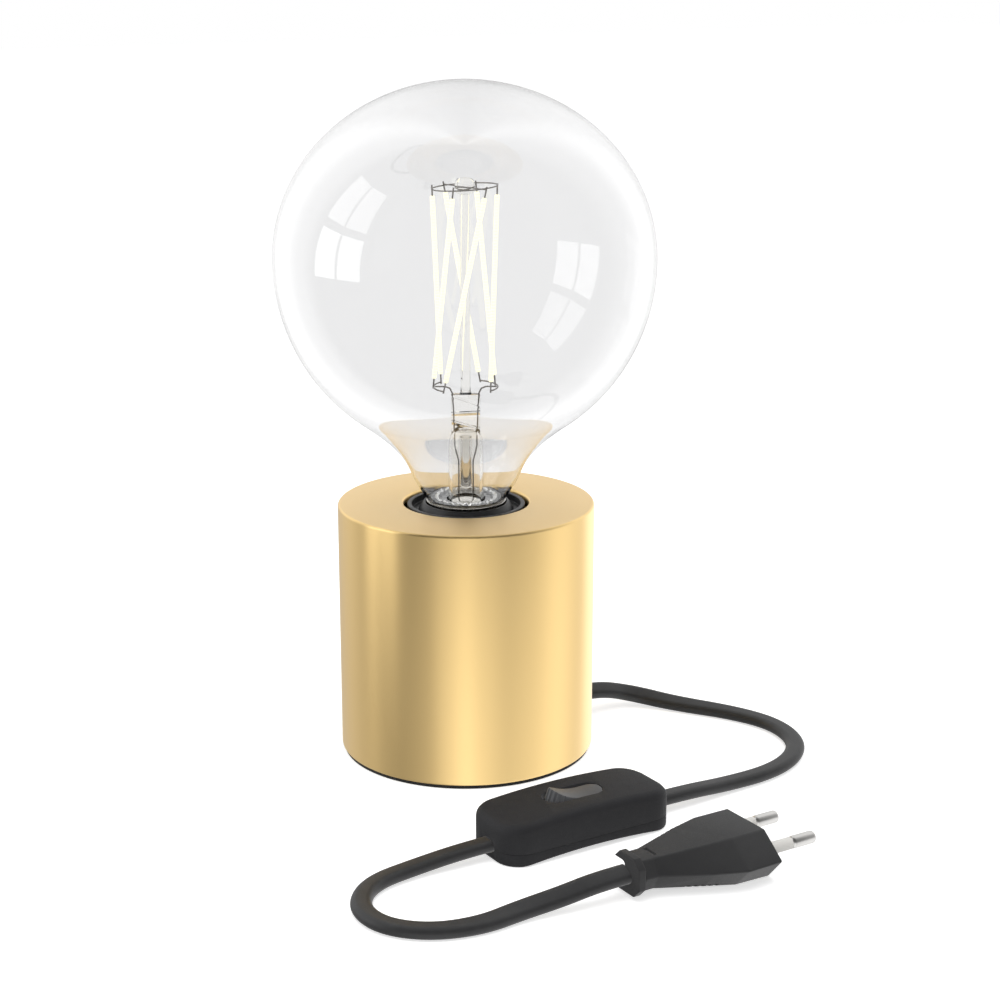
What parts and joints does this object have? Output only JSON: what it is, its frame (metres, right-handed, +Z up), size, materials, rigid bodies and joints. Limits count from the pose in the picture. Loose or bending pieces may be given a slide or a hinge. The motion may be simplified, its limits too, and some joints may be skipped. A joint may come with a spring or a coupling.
{
  "type": "table lamp",
  "caption": "Bare bulb table lamp: satin brass drum base, sunken lamp holder, big clear globe LED filament bulb, flat black cord with rocker switch and two-pin plug",
  "frame": {"origin": "middle of the drum's underside, where it stands on the table", "axes": "+Z up; +X the way the cord leaves the drum and the plug's pins point; -Y the front"},
  "size_m": [0.1957, 0.2076, 0.2251],
  "materials": {
    "satin_brass": "satin brushed",
    "foam": "matte foam",
    "zinc_steel": "zinc plated",
    "iron": "painted cast",
    "black_rubber": "matte",
    "cord_pvc": "matte smooth",
    "holder_plastic": "semi-gloss",
    "ceramic_white": "matte",
    "brass_contact": "plain",
    "wire_insulation": "matte",
    "clear_glass": "clear",
    "nickel_wire": "drawn wire",
    "phosphor": "matte silicone",
    "nickel": "nickel plated",
    "black_glass": "gloss",
    "board_green": "matte",
    "black_plastic": "fine texture",
    "gloss_black": "satin gloss",
    "plug_pvc": "moulded PVC",
    "sleeve_white": "matte"
  },
  "bodies": {
    "root": {"base_shell": "satin_brass", "foot_pad": "foam", "bottom_plate": "zinc_steel", "plate_screws": "zinc_steel", "mounting_lugs": "zinc_steel", "ballast_weight": "iron", "holder_bracket": "zinc_steel", "bracket_rivets": "zinc_steel", "nipple": "zinc_steel", "nipple_nut": "zinc_steel", "lock_washer": "zinc_steel", "cord_grommet": "black_rubber", "inner_cord": "cord_pvc", "holder_cap": "holder_plastic", "holder_lock_screw": "zinc_steel", "holder_insert": "ceramic_white", "holder_sleeve": "holder_plastic", "centre_contact": "brass_contact", "side_contact": "brass_contact", "terminal_screws": "brass_contact", "holder_conductors": "wire_insulation", "cord_base_to_switch": "cord_pvc", "cord_switch_to_plug": "cord_pvc", "switch_upper_shell": "black_plastic", "switch_lower_shell": "black_plastic", "housing_screws": "zinc_steel", "rocker_pin": "zinc_steel", "switch_terminals": "brass_contact", "switch_terminal_screws": "zinc_steel", "switch_conductors": "wire_insulation", "switch_cord_ends": "cord_pvc", "cord_clamps": "black_plastic", "clamp_screws": "zinc_steel", "plug_body": "plug_pvc", "plug_pins": "nickel", "pin_sleeves": "sleeve_white", "plug_conductors": "wire_insulation"},
    "bulb_tip": {"contact_tip": "brass_contact"},
    "bulb": {"glass_bulb": "clear_glass", "stem": "clear_glass", "exhaust_tube": "clear_glass", "support_rod": "clear_glass", "top_bead": "clear_glass", "lead_wires": "nickel_wire", "lower_arms": "nickel_wire", "top_ring": "nickel_wire", "led_filaments": "phosphor", "cap_shell": "nickel", "cap_cement": "ceramic_white", "cap_insulator": "black_glass", "driver_board": "board_green", "driver_parts": "black_plastic"},
    "switch_rocker": {"rocker": "gloss_black", "bridge_contact": "brass_contact"}
  },
  "joints": [
    {"name": "bulb_lift", "type": "slide", "parent": "root", "child": "bulb_tip", "axis": [0, 0, 1], "range_m": [0, 0.01815]},
    {"name": "bulb_spin", "type": "hinge", "parent": "bulb_tip", "child": "bulb", "pos_m": [0, 0, 0.0602], "axis": [0, 0, 1], "range_deg": [0, 1800]},
    {"name": "rocker_tilt", "type": "hinge", "parent": "root", "child": "switch_rocker", "pos_m": [-0.0124, -0.0836, 0.009], "axis": [0, -1, 0], "range_deg": [0, 18]}
  ],
  "couplings": [
    {"joint": "bulb_lift", "follows": "bulb_spin", "m_per_rad": 0.00057757}
  ]
}
